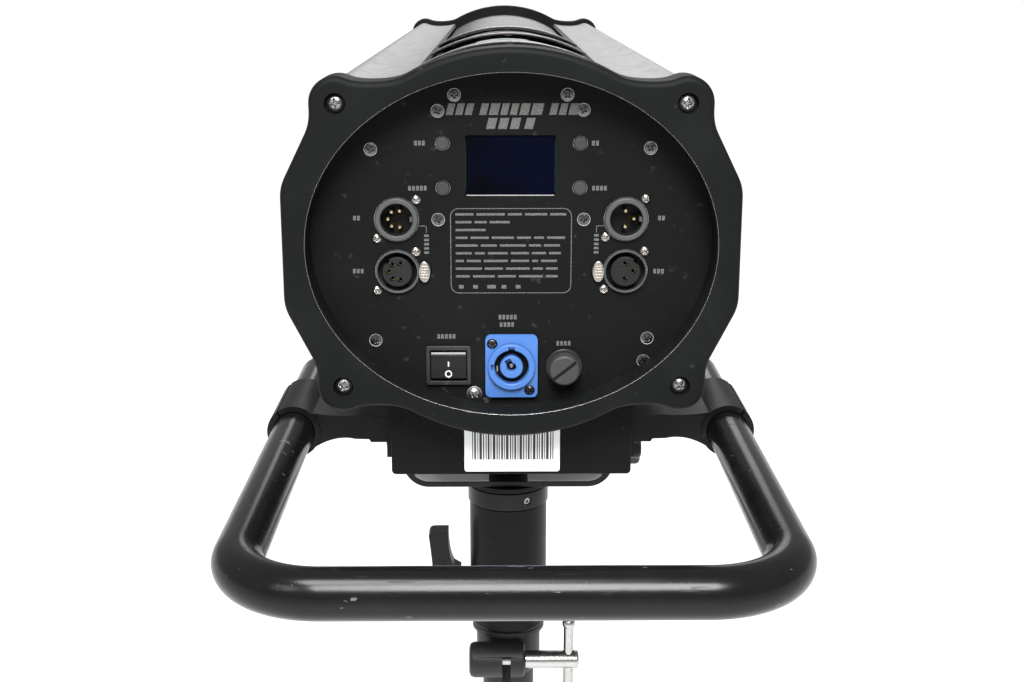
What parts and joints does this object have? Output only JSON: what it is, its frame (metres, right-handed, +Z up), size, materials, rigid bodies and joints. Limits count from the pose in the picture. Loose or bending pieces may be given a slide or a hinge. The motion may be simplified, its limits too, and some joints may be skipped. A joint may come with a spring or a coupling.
{
  "type": "follow spot",
  "caption": "Follow spot with a long louvred head, recessed control panel, U-shaped handle, tilting yoke and a clamp socket for a stand.",
  "frame": {"origin": "centre of the lower rim of the stand socket, on the pan axis", "axes": "+Y along the beam, +Z up, the operator stands at -Y"},
  "size_m": [0.2572, 1.0307, 0.4995],
  "materials": {
    "black_paint": "semi-matt black powder coat",
    "black_satin": "satin black enamel",
    "black_moulded": "fine-textured black",
    "panel_paint": "fine matt black",
    "anodised": "satin, pale grey",
    "plain_aluminium": "as extruded",
    "bright_steel": "zinc plated",
    "black_plastic": "moulded black",
    "grey_plastic": "moulded grey",
    "blue_plastic": "moulded blue",
    "dark_glass": "dark navy window",
    "clear_glass": "polished",
    "circuit_board": "green laminate"
  },
  "bodies": {
    "stand_adapter": {"stand_socket": "black_paint", "swivel_sleeve": "black_paint", "sleeve_ring": "black_satin"},
    "clamp_bolt": {"clamp_bolt": "bright_steel"},
    "tommy_bar": {"tommy_bar": "bright_steel"},
    "pan_lock": {"pan_lock_lever": "black_plastic"},
    "yoke": {"pan_spindle": "black_paint", "spindle_nut": "black_satin", "yoke_bracket": "black_paint", "tilt_pivot_bolt": "bright_steel"},
    "tilt_knob": {"tilt_lock_knob": "black_plastic"},
    "head": {"rear_bezel": "black_moulded", "front_bezel": "black_moulded", "side_panel_left": "anodised", "side_panel_right": "anodised", "top_cover": "black_paint", "vent_plate_1": "black_paint", "vent_plate_2": "black_paint", "vent_plate_3": "black_paint", "bottom_cover": "black_paint", "electronics_box": "black_paint", "tilt_bracket": "black_paint", "handle_bracket_left": "black_paint", "handle_bracket_right": "black_paint", "rear_panel": "panel_paint", "display_window": "dark_glass", "dmx_in_left": "grey_plastic", "dmx_out_left": "grey_plastic", "dmx_in_right": "grey_plastic", "dmx_out_right": "grey_plastic", "power_inlet": "blue_plastic", "switch_frame": "black_plastic", "fuse_holder": "black_plastic", "heatsink": "plain_aluminium", "led_board": "circuit_board", "fan_frame": "black_plastic", "gate_plate": "plain_aluminium", "lens_barrel": "black_paint", "guide_rod_left": "bright_steel", "guide_rod_right": "bright_steel", "condenser_lens": "clear_glass", "front_lens": "clear_glass", "power_supply": "plain_aluminium", "control_board": "circuit_board"},
    "handle": {"handle": "black_satin"},
    "latch_left": {"dmx_latch_left": "bright_steel"},
    "latch_right": {"dmx_latch_right": "bright_steel"},
    "rocker": {"power_rocker": "black_plastic"},
    "fuse_cap": {"fuse_cap": "black_plastic"},
    "button_escape": {"button_escape": "grey_plastic"},
    "button_enter": {"button_enter": "grey_plastic"},
    "button_up": {"button_up": "grey_plastic"},
    "button_down": {"button_down": "grey_plastic"},
    "fan_rotor": {"fan_rotor": "black_plastic"},
    "iris": {"iris_ring": "bright_steel"},
    "focus": {"focus_carriage": "black_paint", "focus_lens": "clear_glass"},
    "zoom": {"zoom_carriage": "black_paint", "zoom_lens": "clear_glass"}
  },
  "joints": [
    {"name": "pan", "type": "hinge", "parent": "stand_adapter", "child": "yoke", "pos_m": [0, 0, 0.18], "axis": [0, 0, 1], "continuous": true},
    {"name": "tilt", "type": "hinge", "parent": "yoke", "child": "head", "pos_m": [0, 0, 0.215], "axis": [1, 0, 0], "range_deg": [-45, 45]},
    {"name": "tilt_knob_turn", "type": "hinge", "parent": "yoke", "child": "tilt_knob", "pos_m": [0.086, 0, 0.215], "axis": [1, 0, 0], "continuous": true},
    {"name": "pan_lock_turn", "type": "hinge", "parent": "stand_adapter", "child": "pan_lock", "pos_m": [-0.03, 0, 0.104], "axis": [1, 0, 0], "range_deg": [0, 120]},
    {"name": "clamp_bolt_turn", "type": "hinge", "parent": "stand_adapter", "child": "clamp_bolt", "pos_m": [0.03, -0.03, 0.057], "axis": [1, 0, 0], "continuous": true},
    {"name": "tommy_slide", "type": "slide", "parent": "clamp_bolt", "child": "tommy_bar", "axis": [0, 0, 1], "range_m": [-0.016, 0.028]},
    {"name": "handle_slide", "type": "slide", "parent": "head", "child": "handle", "axis": [0, 1, 0], "range_m": [0, 0.1]},
    {"name": "latch_left_press", "type": "slide", "parent": "head", "child": "latch_left", "axis": [0, 1, 0], "range_m": [0, 0.0015], "stiffness_N_per_m": 600},
    {"name": "latch_right_press", "type": "slide", "parent": "head", "child": "latch_right", "axis": [0, 1, 0], "range_m": [0, 0.0015], "stiffness_N_per_m": 600},
    {"name": "rocker_swing", "type": "hinge", "parent": "head", "child": "rocker", "pos_m": [-0.0314, -0.268, 0.3427], "axis": [1, 0, 0], "range_deg": [0, 14]},
    {"name": "fuse_cap_turn", "type": "hinge", "parent": "head", "child": "fuse_cap", "pos_m": [0.0263, -0.277, 0.3418], "axis": [0, 1, 0], "range_deg": [0, 90]},
    {"name": "button_escape_press", "type": "slide", "parent": "head", "child": "button_escape", "axis": [0, 1, 0], "range_m": [0, 0.001], "stiffness_N_per_m": 500},
    {"name": "button_enter_press", "type": "slide", "parent": "head", "child": "button_enter", "axis": [0, 1, 0], "range_m": [0, 0.001], "stiffness_N_per_m": 500},
    {"name": "button_up_press", "type": "slide", "parent": "head", "child": "button_up", "axis": [0, 1, 0], "range_m": [0, 0.001], "stiffness_N_per_m": 500},
    {"name": "button_down_press", "type": "slide", "parent": "head", "child": "button_down", "axis": [0, 1, 0], "range_m": [0, 0.001], "stiffness_N_per_m": 500},
    {"name": "fan_spin", "type": "hinge", "parent": "head", "child": "fan_rotor", "pos_m": [0, -0.186, 0.405], "axis": [0, 1, 0], "continuous": true},
    {"name": "iris_turn", "type": "hinge", "parent": "head", "child": "iris", "pos_m": [0, -0.033, 0.405], "axis": [0, 1, 0], "range_deg": [-60, 60]},
    {"name": "focus_slide", "type": "slide", "parent": "head", "child": "focus", "axis": [0, 1, 0], "range_m": [-0.1, 0.05]},
    {"name": "zoom_slide", "type": "slide", "parent": "head", "child": "zoom", "axis": [0, 1, 0], "range_m": [-0.06, 0.1]}
  ]
}
